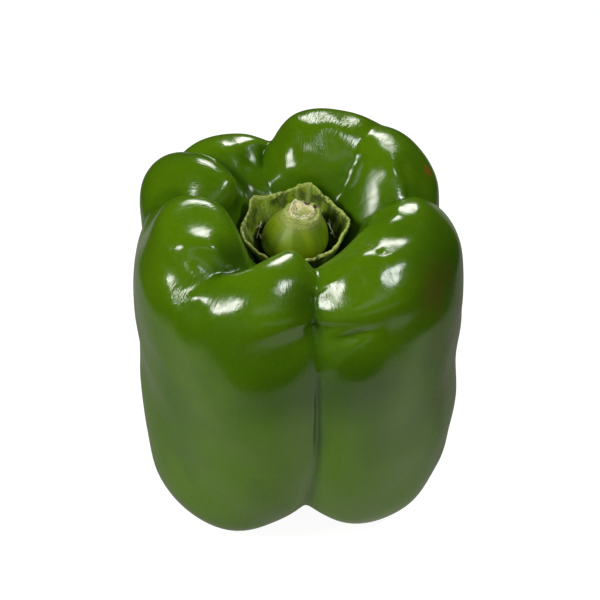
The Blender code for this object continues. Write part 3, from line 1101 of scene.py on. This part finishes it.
@dataclass(frozen=True)
class CalyxFinish(Finish):
    """Olive leaf with pale ribs and fuzz inside, painted shade deep in the cup, and a pale, dry
    rim, brown in one place.
    """

    green: Colour = (0.175, 0.270, 0.004)
    # Dark olive for the mottle's darker patches, and for the painted shade deep in the cup.
    deep_green: Colour = (0.045, 0.080, 0.004)
    rim: Colour = (0.330, 0.390, 0.080)
    rib: Colour = (0.260, 0.350, 0.050)
    fuzz: Colour = (0.480, 0.500, 0.300)
    brown: Colour = (0.200, 0.135, 0.035)
    brown_place: Point = (-9.2, -12.2, 86.4)
    brown_reach: float = 5.5  # millimetres
    brown_softness: float = 0.8
    mottle: Span = (190.0, 1500.0)  # patches and cells per metre
    greening: Span = (0.1, 0.8)  # mottle over which the leaf gets green
    cup_painted_shade: Span = (0.80, 0.25)  # heights over which painted shade darkens it downwards into the cup
    veins: Strands = Strands(6.0, 1.2, 0.5, 0.68)
    vein_share: float = 0.25
    rib_share: float = 0.8
    hairs: Strands = Strands(16.0, 2.5, 0.60, 0.72)
    rim_fray: float = 0.14  # how much the mottle frays its edge
    rim_edge: Span = (1.01, 1.08)  # frayed heights over which the rim sets in
    roughness: Span = (0.2, 0.4)  # how the mottle roughens it: gain, offset
    refraction: float = 1.42
    bump: float = 0.12 * MM

    def paint(self, surface: Surface) -> None:
        """Wires up the calyx's material.

        Args:
            surface: the material being built.
        """
        wiring = surface.wiring
        broad, fine = surface.mottle(*self.mottle)
        height = surface.stored("rise")
        veins = surface.strands(self.veins)
        hairs = surface.strands(self.hairs)
        colour = wiring.blend(wiring.between(broad, *self.greening), self.deep_green, self.green)
        # Painted shade: darker towards the bottom of the cup.
        colour = wiring.blend(wiring.between(height, *self.cup_painted_shade), colour, self.deep_green)
        colour = wiring.blend(wiring.times(veins, self.vein_share), colour, self.rib)
        ribs = wiring.times(surface.stored("ribs"), self.rib_share)
        colour = wiring.blend(ribs, colour, self.rib)
        fuzzy = wiring.times(wiring.times(hairs, fine), surface.stored("inner"))
        colour = wiring.blend(fuzzy, colour, self.fuzz)
        browned = surface.near(self.brown_place, self.brown_reach, self.brown_softness)
        dry = wiring.blend(wiring.times(browned, broad), self.rim, self.brown)
        frayed = wiring.scaled(fine, self.rim_fray, height)
        colour = wiring.blend(wiring.between(frayed, *self.rim_edge), colour, dry)
        rough = wiring.scaled(fine, *self.roughness)
        surface.set(Base_Color=colour, Roughness=rough, IOR=self.refraction)
        surface.bump(wiring.plus(veins, fine), self.bump)


@dataclass
class Calyx(Piece):
    """The calyx cup: a ragged leaf cup sunk in the stem cavity."""

    node: str = "calyx"
    name: str = "calyx_leaf"
    levels: int = 2
    rib_azimuths: tuple[float, ...] = (179.0, 129.0, 88.0, 74.0, 20.0, -56.0, -127.0)
    rib_width: float = 3.2  # degrees
    rib_height: float = 0.22 * MM
    rib_start: float = 0.32  # share of the leaf's height
    rib_gain: float = 2.5  # how soon they grow above it
    inner_gain: float = 2.0  # how sharply the inner face is told apart
    edge_reach: float = 0.08  # share of the leaf's height
    lip: float = 0.16 * MM
    tears: Swell = Swell(1.1, 0.30, 5.0)
    rim_spans: int = 72  # steps round the rim to measure its height

    def rim_height(self, points: np.ndarray, around: np.ndarray) -> np.ndarray:
        """How high the rim stands.

        Args:
            points: the leaf's points.
            around: their azimuths, in degrees.

        Returns:
            The rim's height at each point's azimuth.
        """
        cell = np.floor((around + 180.0) / 360.0 * self.rim_spans).astype(int) % self.rim_spans
        tops = np.full(self.rim_spans, points[:, 2].min())
        np.maximum.at(tops, cell, points[:, 2])
        tops = (np.roll(tops, 1) + 2.0 * tops + np.roll(tops, -1)) / 4.0
        middles = (np.arange(self.rim_spans) + 0.5) / self.rim_spans * 360.0 - 180.0
        return np.interp(around, middles, tops, period=360.0)

    def work(self, mesh: bpy.types.Mesh) -> None:
        """Raises the ribs, thickens and tears the rim, and stores what the finish reads.

        Args:
            mesh: the leaf's mesh.
        """
        points, normals = points_of(mesh), normals_of(mesh)
        low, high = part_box(self.node)
        around = azimuths(points, ((low.x + high.x) / 2, (low.y + high.y) / 2))
        rise = (points[:, 2] - low.z) / (self.rim_height(points, around) - low.z)
        outward = np.stack([np.cos(np.radians(around)), np.sin(np.radians(around))], axis=1)
        inwards = -np.einsum("ij,ij->i", normals[:, :2], outward)
        inner = np.clip(self.inner_gain * inwards, 0, 1)
        ribs = sum(bell(turn_between(around, rib), self.rib_width) for rib in self.rib_azimuths)
        grown = np.clip((rise - self.rib_start) * self.rib_gain, 0, 1)
        ribs = np.clip(ribs * grown, 0, 1)
        edge = bell(rise - 1.0, self.edge_reach)
        proud = self.rib_height * ribs * inner + self.lip * edge + self.tears.over(points, edge)
        move_points(mesh, points + normals * proud[:, None])
        keep_grain(mesh, around, rise)
        keep_on_points(mesh, "rise", rise)
        keep_on_points(mesh, "ribs", ribs)
        keep_on_points(mesh, "inner", inner)


# ------------------------------------------------------------------ the fibres


@dataclass(frozen=True)
class FibreFinish(Finish):
    """Dry straw, a little darker in places."""

    pale: Colour = (0.86, 0.81, 0.56)
    darker: float = 0.6  # share of the pale colour
    mottle: Span = (400.0, 2500.0)  # patches and cells per metre
    roughness: float = 0.6
    bump: float = 0.03 * MM

    def paint(self, surface: Surface) -> None:
        """Wires up the fibres' material.

        Args:
            surface: the material being built.
        """
        fine = surface.mottle(*self.mottle)[1]
        darker = tuple(self.darker * c for c in self.pale)
        colour = surface.wiring.blend(fine, self.pale, darker)
        surface.set(Base_Color=colour, Roughness=self.roughness)
        surface.bump(fine, self.bump)


@dataclass(frozen=True)
class Thread:
    """A fine fibre from one place to another, in millimetres, and how far it bows up."""

    start: Point
    end: Point
    bow: float


@dataclass
class Fibres:
    """Pale fibres left between the cup and the stem, and torn ones round the stem's cut."""

    name: str = "calyx_fibres"
    thickness: float = 0.22 * MM
    thinned: float = 0.45  # share of the thickness at a fibre's end
    handles: Span = (0.35, 0.65)  # where along a fibre its bow is held
    torn_count: int = 16
    torn_seed: int = 11
    torn_wander: float = 0.3  # share of the spacing
    torn_turn: Span = (14.0, 34.0)  # degrees that a torn fibre runs round
    torn_out: Span = (-0.10, 0.06)  # share of the rim's radius
    torn_lift: Span = (-0.05, 0.25)  # millimetres
    torn_bow: Span = (0.2, 0.7)  # millimetres
    threads: tuple[Thread, ...] = (
        Thread((-9.7, 5.6, 82.6), (-10.4, 2.6, 81.2), 0.5),
        Thread((-10.4, 3.0, 81.6), (-10.8, 0.2, 81.4), 0.3),
        Thread((-10.6, 1.6, 81.6), (-9.4, 0.4, 82.2), 0.3),
        Thread((-11.0, 3.4, 82.6), (-10.2, 4.4, 81.8), 0.2),
        Thread((8.0, 5.4, 82.4), (9.0, 3.0, 81.4), 0.5),
        Thread((9.0, 3.2, 81.8), (9.8, 0.4, 81.5), 0.3),
        Thread((9.4, 1.8, 81.7), (8.6, 1.2, 82.4), 0.2),
        Thread((8.2, 6.6, 83.4), (8.6, 4.6, 82.2), 0.4),
        Thread((-9.9, 0.6, 81.8), (-9.0, -1.8, 81.2), 0.4),
        Thread((-10.6, 4.4, 82.4), (-9.6, 3.4, 82.6), 0.3),
    )

    def torn(self, stub: bpy.types.Object) -> list[Thread]:
        """The fibres that curl round the rim of the stem's cut.

        Args:
            stub: the finished stem, which keeps where its rim is.

        Returns:
            One thread for each fibre.
        """
        mesh = stub.data
        share = np.zeros(len(mesh.vertices), dtype=np.float32)
        mesh.attributes["torn"].data.foreach_get("value", share)
        rim = points_of(mesh)[share > 0.5] / MM
        middle = rim.mean(axis=0)
        around = azimuths(rim, (middle[0], middle[1]))
        draws = random.Random(self.torn_seed)
        threads = []
        for number in range(self.torn_count):
            wander = draws.uniform(-self.torn_wander, self.torn_wander)
            start = 360.0 * (number + wander) / self.torn_count
            ends = []
            for place in (start, start + draws.uniform(*self.torn_turn)):
                nearest = rim[int(np.argmin(np.abs(turn_between(around, place))))]
                out = (nearest - middle) * draws.uniform(*self.torn_out)
                ends.append(nearest + out + np.array([0.0, 0.0, draws.uniform(*self.torn_lift)]))
            bow = draws.uniform(*self.torn_bow)
            threads.append(Thread(tuple(ends[0]), tuple(ends[1]), bow))
        return threads

    def build(self, stub: bpy.types.Object, finish: Finish, effects: Effects) -> bpy.types.Object:
        """Models and dresses the fibres.

        Args:
            stub: the finished stem.
            finish: what their surface looks like.
            effects: the shared node groups.

        Returns:
            The finished piece.
        """
        pieces = [self.drawn(thread) for thread in (*self.threads, *self.torn(stub))]
        select_only(pieces[0])
        for piece in pieces:
            piece.select_set(True)
        bpy.ops.object.join()
        piece = bpy.context.object
        piece.name = piece.data.name = self.name
        piece.data.materials.clear()
        piece.data.materials.append(finish.material(self.name, effects))
        return piece

    def drawn(self, thread: Thread) -> bpy.types.Object:
        """One fibre as a mesh: a round curve that bows and thins towards its end.

        Args:
            thread: where the fibre runs.

        Returns:
            The new object.
        """
        bpy.ops.object.select_all(action="DESELECT")
        bpy.ops.curve.primitive_bezier_curve_add(location=(0, 0, 0))
        piece = bpy.context.object
        piece.data.dimensions = "3D"
        start, end = Vector(thread.start) * MM, Vector(thread.end) * MM
        lift = Vector((0, 0, thread.bow * MM))
        for bend, place, share, thick in zip(
            piece.data.splines[0].bezier_points, (start, end), self.handles, (1.0, self.thinned)
        ):
            bend.handle_left_type = bend.handle_right_type = "FREE"
            bend.co = place
            bend.handle_left = bend.handle_right = start.lerp(end, share) + lift
            bend.radius = thick
        piece.data.bevel_depth = self.thickness
        piece.data.bevel_resolution = 1
        piece.data.use_fill_caps = True
        bpy.ops.object.convert(target="MESH")
        piece.data.shade_smooth()
        return piece


# -------------------------------------------------------------------- the stem


@dataclass(frozen=True)
class StemFinish(Finish):
    """Light green stub with a pale speckled collar under a dry, fibrous cut."""

    green: Colour = (0.165, 0.250, 0.002)
    deep_green: Colour = (0.110, 0.185, 0.002)
    collar: Colour = (0.340, 0.380, 0.110)
    dots: Colour = (0.120, 0.130, 0.020)
    pith: Colour = (0.400, 0.440, 0.150)
    rim: Colour = (0.880, 0.820, 0.480)
    fibre: Colour = (0.900, 0.820, 0.520)
    dark: Colour = (0.045, 0.026, 0.010)
    mottle: Span = (180.0, 2200.0)  # patches and cells per metre
    strands: Strands = Strands(3.5, 1.0, 0.4, 0.62)
    collar_least: float = 0.30  # its share where the mottle is at its lowest
    dotting: Span = (0.45, 0.6)  # fine mottle over which the dots set in
    pithy: Span = (0.3, 0.7)  # fine mottle over which the pith takes the collar's colour
    fibre_place: Point = (-0.4, 1.0, 91.3)
    fibre_reach: float = 2.2  # millimetres
    fibre_softness: float = 0.5
    fibrous: Span = (0.25, 0.5)  # fine mottle over which the clump sets in
    stains: tuple[Point, ...] = ((4.9, 1.3, 91.7), (2.6, 3.2, 91.3))
    stain_reach: float = 1.7  # millimetres
    stain_softness: float = 0.9
    stain_fray: float = 0.5  # how much the mottle frays a stain
    stain_edge: Span = (0.7, 0.9)  # frayed strengths over which a stain sets in
    cut_rougher: float = 0.4  # how much rougher the cut is
    roughness: float = 0.42
    bump_least: float = 0.10  # share of the bump away from the cut
    refraction: float = 1.35
    bump: float = 0.14 * MM

    def flesh(self, surface: Surface, fine: Socket) -> Socket:
        """The colour of the cut: pith, its torn rim and a clump of fibres.

        Args:
            surface: the material being built.
            fine: its mask of fine cells.

        Returns:
            The colour's socket.
        """
        wiring = surface.wiring
        flesh = wiring.blend(wiring.between(fine, *self.pithy), self.pith, self.collar)
        flesh = wiring.blend(surface.stored("torn"), flesh, self.rim)
        clump = surface.near(self.fibre_place, self.fibre_reach, self.fibre_softness)
        clump = wiring.times(clump, wiring.between(fine, *self.fibrous))
        return wiring.blend(clump, flesh, self.fibre)

    def paint(self, surface: Surface) -> None:
        """Wires up the stem's material.

        Args:
            surface: the material being built.
        """
        wiring = surface.wiring
        fine = surface.mottle(*self.mottle)[1]
        cut = surface.stored("cut")
        colour = wiring.blend(surface.strands(self.strands), self.green, self.deep_green)
        speckled = wiring.times(surface.stored("collar"), wiring.plus(self.collar_least, fine))
        colour = wiring.blend(speckled, colour, self.collar)
        dotted = wiring.times(surface.stored("line"), wiring.between(fine, *self.dotting))
        colour = wiring.blend(dotted, colour, self.dots)
        colour = wiring.blend(cut, colour, self.flesh(surface, fine))
        for place in self.stains:
            stain = surface.near(place, self.stain_reach, self.stain_softness)
            stain = wiring.between(wiring.scaled(fine, self.stain_fray, stain), *self.stain_edge)
            colour = wiring.blend(stain, colour, self.dark)
        rough = wiring.scaled(cut, self.cut_rougher, self.roughness)
        surface.set(Base_Color=colour, Roughness=rough, IOR=self.refraction)
        surface.bump(wiring.times(fine, wiring.plus(cut, self.bump_least)), self.bump)


@dataclass
class Stem(Piece):
    """The cut stub of the stem."""

    node: str = "stem"
    name: str = "stem_stub"
    levels: int = 3
    cut_from: float = 2.2 * MM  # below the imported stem's top
    cut_over: float = 0.6 * MM  # height over which the cut sets in
    level_least: float = 0.4  # how far it faces up where the cut sets in
    level_gain: float = 3.0  # how soon the cut is whole above that
    rim_radius: float = 3.0 * MM
    rim_wander: float = 0.25  # share of the radius
    rim_pattern: Span = (1.3 * MM, 2.0)  # size and seed of its wandering
    rim_width: float = 0.30 * MM
    rim_height: float = 1.5 * MM
    rim_least: float = 0.3  # share of the height that the torn fibres never go under
    flesh_radius: float = 1.18  # share of the rim's radius
    flesh_softness: float = 0.3 * MM
    pith_depth: float = 0.35 * MM
    ragged_pattern: Span = (0.8 * MM, 4.0)  # size and seed of the torn fibres
    clump: Point = (-0.6, 1.0, 91.0)
    clump_reach: float = 1.4 * MM
    clump_height: float = 1.1 * MM
    crumbs: Swell = Swell(0.6, 0.18, 7.0)
    collar: Span = (0.2 * MM, 1.2 * MM)  # how far below the cut, and its width
    line: Span = (1.3 * MM, 0.20 * MM)  # how far below the cut, and its width

    def work(self, mesh: bpy.types.Mesh) -> None:
        """Tears the cut, and stores the cut, its rim, the collar and the grain.

        Args:
            mesh: the stem's mesh.
        """
        points, normals = points_of(mesh), normals_of(mesh)
        low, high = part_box(self.node)
        middle = ((low.x + high.x) / 2, (low.y + high.y) / 2)
        near_top = np.clip((points[:, 2] - high.z + self.cut_from) / self.cut_over, 0, 1)
        level = np.clip((normals[:, 2] - self.level_least) * self.level_gain, 0, 1)
        cut = near_top * level
        centre = (cut / cut.sum()) @ points
        edge = points[cut > 0.5][:, 2].mean()
        away = np.linalg.norm((points - centre)[:, :2], axis=1)
        flesh_edge = self.rim_radius * self.flesh_radius
        flesh = cut * np.clip((flesh_edge - away) / self.flesh_softness + 0.5, 0, 1)
        wander = 1.0 + self.rim_wander * uneven(points, *self.rim_pattern)
        torn = bell(away - self.rim_radius * wander, self.rim_width) * cut
        clump = bell(distances(points, self.clump), self.clump_reach) * cut
        ragged = 0.5 + 0.5 * uneven(points, *self.ragged_pattern)
        lift = self.rim_height * torn * (self.rim_least + ragged)
        lift = lift + self.clump_height * clump * ragged
        lift = lift - self.pith_depth * cut * (away < self.rim_radius)
        lift = lift + self.crumbs.over(points, cut)
        moved = points.copy()
        moved[:, 2] += lift
        move_points(mesh, moved)
        rise = (points[:, 2] - low.z) / (high.z - low.z)
        keep_grain(mesh, azimuths(points, middle), rise)
        keep_on_points(mesh, "cut", flesh)
        keep_on_points(mesh, "torn", torn)
        below = edge - points[:, 2]
        keep_on_points(mesh, "collar", bell(below - self.collar[0], self.collar[1]))
        keep_on_points(mesh, "line", bell(below - self.line[0], self.line[1]))


# ------------------------------------------------------------------ the studio


@dataclass(frozen=True)
class Softbox:
    """A flat soft light, aimed at the fruit from a direction.

    azimuth: degrees round from +X; elevation: degrees above the floor
    distance, width, height: metres; power: watts
    """

    name: str
    azimuth: float
    elevation: float
    distance: float
    width: float
    height: float
    power: float
    colour: Colour = WHITE
    in_reflections: bool = True


@dataclass(frozen=True)
class FloorFinish:
    """Grey paper that glows in front of the fruit, and looks white to the camera."""

    colour: Colour = (0.18, 0.18, 0.17)
    darker: float = 0.97  # share of the colour in the darkest grain
    grain: tuple[float, float, float] = (900.0, 3.0, 0.6)  # scale, detail, roughness
    roughness: float = 0.9
    specular: float = 0.1
    tint: Colour = (1.0, 0.98, 0.84)
    far_glow: float = 0.06
    glow: float = 0.33
    glow_ends: Span = (0.0, -0.055)  # Y where the near glow begins and is whole
    right_ends: Span = (0.0, 0.03)  # X where the right's gain begins and is whole
    right_gain: float = 0.7
    seen: float = 0.94  # how bright the camera sees it

    def material(self) -> bpy.types.Material:
        """The floor's material.

        Returns:
            The new material.
        """
        material = bpy.data.materials.new("floor_paper")
        material.use_nodes = True
        wiring = Wiring(material.node_tree)
        place = wiring.add("ShaderNodeTexCoord").outputs["Object"]
        grain = wiring.noise(place, *self.grain)
        darker = tuple(self.darker * c for c in self.colour)
        seen = wiring.add("ShaderNodeLightPath").outputs["Is Camera Ray"]
        split = wiring.add("ShaderNodeSeparateXYZ", {"Vector": place}).outputs
        right = wiring.between(split["X"], *self.right_ends)
        near = wiring.between(split["Y"], *self.glow_ends)
        near = wiring.times(near, wiring.scaled(right, self.right_gain, 1.0))
        glow = wiring.scaled(near, self.glow - self.far_glow, self.far_glow)
        glow = wiring.scaled(seen, wiring.maths("SUBTRACT", self.seen, glow), glow)
        inputs = material.node_tree.nodes["Principled BSDF"].inputs
        wiring.feed(inputs["Base Color"], wiring.blend(grain, self.colour, darker))
        wiring.feed(inputs["Roughness"], self.roughness)
        wiring.feed(inputs["Specular IOR Level"], self.specular)
        wiring.feed(inputs["Emission Color"], wiring.blend(seen, self.tint, WHITE))
        wiring.feed(inputs["Emission Strength"], glow)
        return material


@dataclass
class Studio:
    """Pale floor, soft lights, dim room and camera."""

    floor_front: float = -0.125
    floor_half: float = 0.135
    floor_back: float = 0.22
    room: float = 0.015
    backdrop: float = 1.0
    camera_elevation: float = 42.0
    camera_distance: float = 0.6
    camera_target: Point = (0.6 * MM, 0.0, 59.8 * MM)
    camera_near: float = 0.01
    lens: float = 133.2  # millimetres
    sensor: float = 36.0  # millimetres
    lights: tuple[Softbox, ...] = (
        Softbox("back_softbox", 86.0, 33.0, 1.0, 0.34, 0.34, 6.5, (1.0, 0.97, 0.93)),
        Softbox("left_softbox", -150.0, 42.0, 1.0, 0.24, 0.32, 7.5, (1.0, 0.98, 0.95)),
        Softbox("right_softbox", -20.0, 52.0, 1.0, 0.26, 0.13, 4.4, (0.95, 0.98, 1.0)),
        Softbox("front_fill", -115.0, 6.0, 1.0, 0.8, 0.8, 3.0, (1.0, 1.0, 0.97), False),
        Softbox("front_card", -62.0, 8.0, 1.0, 0.9, 0.24, 0.30),
        Softbox("waist_card", -74.0, 43.0, 1.0, 0.8, 0.2, 0.5),
    )

    def build(self) -> None:
        """Builds the whole studio."""
        self.lay_floor(FloorFinish())
        self.fill_room()
        for light in self.lights:
            self.hang(light)
        self.set_camera()
        bpy.context.scene.view_settings.view_transform = "Standard"

    def lay_floor(self, finish: FloorFinish) -> None:
        """Lays the floor, which ends a short way in front of the fruit.

        Args:
            finish: what the floor looks like.
        """
        bpy.ops.object.select_all(action="DESELECT")
        bpy.ops.mesh.primitive_plane_add(size=2 * self.floor_half, location=(0, 0, 0))
        floor = bpy.context.object
        floor.name = "studio_floor"
        points = points_of(floor.data)
        points[:, 1] = np.where(points[:, 1] < 0, self.floor_front, self.floor_back)
        move_points(floor.data, points)
        floor.data.materials.append(finish.material())

    def fill_room(self) -> None:
        """A dim room for the light, and a pale backdrop behind the floor's far edge."""
        world = bpy.data.worlds.new("room")
        bpy.context.scene.world = world
        world.use_nodes = True
        wiring = Wiring(world.node_tree)
        seen = wiring.add("ShaderNodeLightPath").outputs["Is Camera Ray"]
        shade = wiring.blend(seen, (self.room,) * 3, (self.backdrop,) * 3)
        wiring.feed(world.node_tree.nodes["Background"].inputs["Color"], shade)

    def place(self, thing: bpy.types.Object, towards: Vector, distance: float) -> None:
        """Puts a lamp or the camera in the scene, looking back at the target.

        Args:
            thing: the lamp's or the camera's object.
            towards: the direction from the target to it.
            distance: how far from the target it stands.
        """
        bpy.context.scene.collection.objects.link(thing)
        thing.location = Vector(self.camera_target) + distance * towards
        thing.rotation_euler = (-towards).to_track_quat("-Z", "Y").to_euler()

    def hang(self, softbox: Softbox) -> None:
        """Hangs one soft light.

        Args:
            softbox: the light.
        """
        data = bpy.data.lights.new(softbox.name, "AREA")
        data.shape = "RECTANGLE"
        data.size = softbox.width
        data.size_y = softbox.height
        data.energy = softbox.power
        data.color = softbox.colour
        lamp = bpy.data.objects.new(softbox.name, data)
        self.place(lamp, Vector(direction(softbox.azimuth, softbox.elevation)), softbox.distance)
        lamp.visible_glossy = softbox.in_reflections

    def set_camera(self) -> None:
        """Sets the camera in front of the fruit, looking down on its shoulders."""
        data = bpy.data.cameras.new("camera")
        data.sensor_width = self.sensor
        data.lens = self.lens
        data.clip_start = self.camera_near
        camera = bpy.data.objects.new("camera", data)
        elevation = math.radians(self.camera_elevation)
        back = Vector((0, -math.cos(elevation), math.sin(elevation)))
        self.place(camera, back, self.camera_distance)
        bpy.context.scene.camera = camera


# ----------------------------------------------------------------- putting together


def fit(piece: bpy.types.Object, node: str | None, slot: Slot) -> None:
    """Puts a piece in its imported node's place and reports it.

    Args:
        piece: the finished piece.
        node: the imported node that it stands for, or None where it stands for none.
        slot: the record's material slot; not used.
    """
    if node:
        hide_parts(node)
    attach(piece, "root")
    faces = len(piece.data.polygons)
    log.info("%s stands for %s: %d faces", piece.name, node or "no node", faces)


def main() -> None:
    """Builds the studio and the four pieces."""
    logging.basicConfig(level=logging.INFO, format="%(name)s: %(message)s")
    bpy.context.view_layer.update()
    effects = Effects.built()
    Studio().build()
    fruit = Fruit()
    fit(fruit.build(SkinFinish(), effects), fruit.node, Slot.SKIN)
    calyx = Calyx()
    fit(calyx.build(CalyxFinish(), effects), calyx.node, Slot.CALYX)
    stem = Stem()
    stub = stem.build(StemFinish(), effects)
    fit(Fibres().build(stub, FibreFinish(), effects), None, Slot.CALYX)
    fit(stub, stem.node, Slot.STEM)


if __name__ == "__main__":
    main()
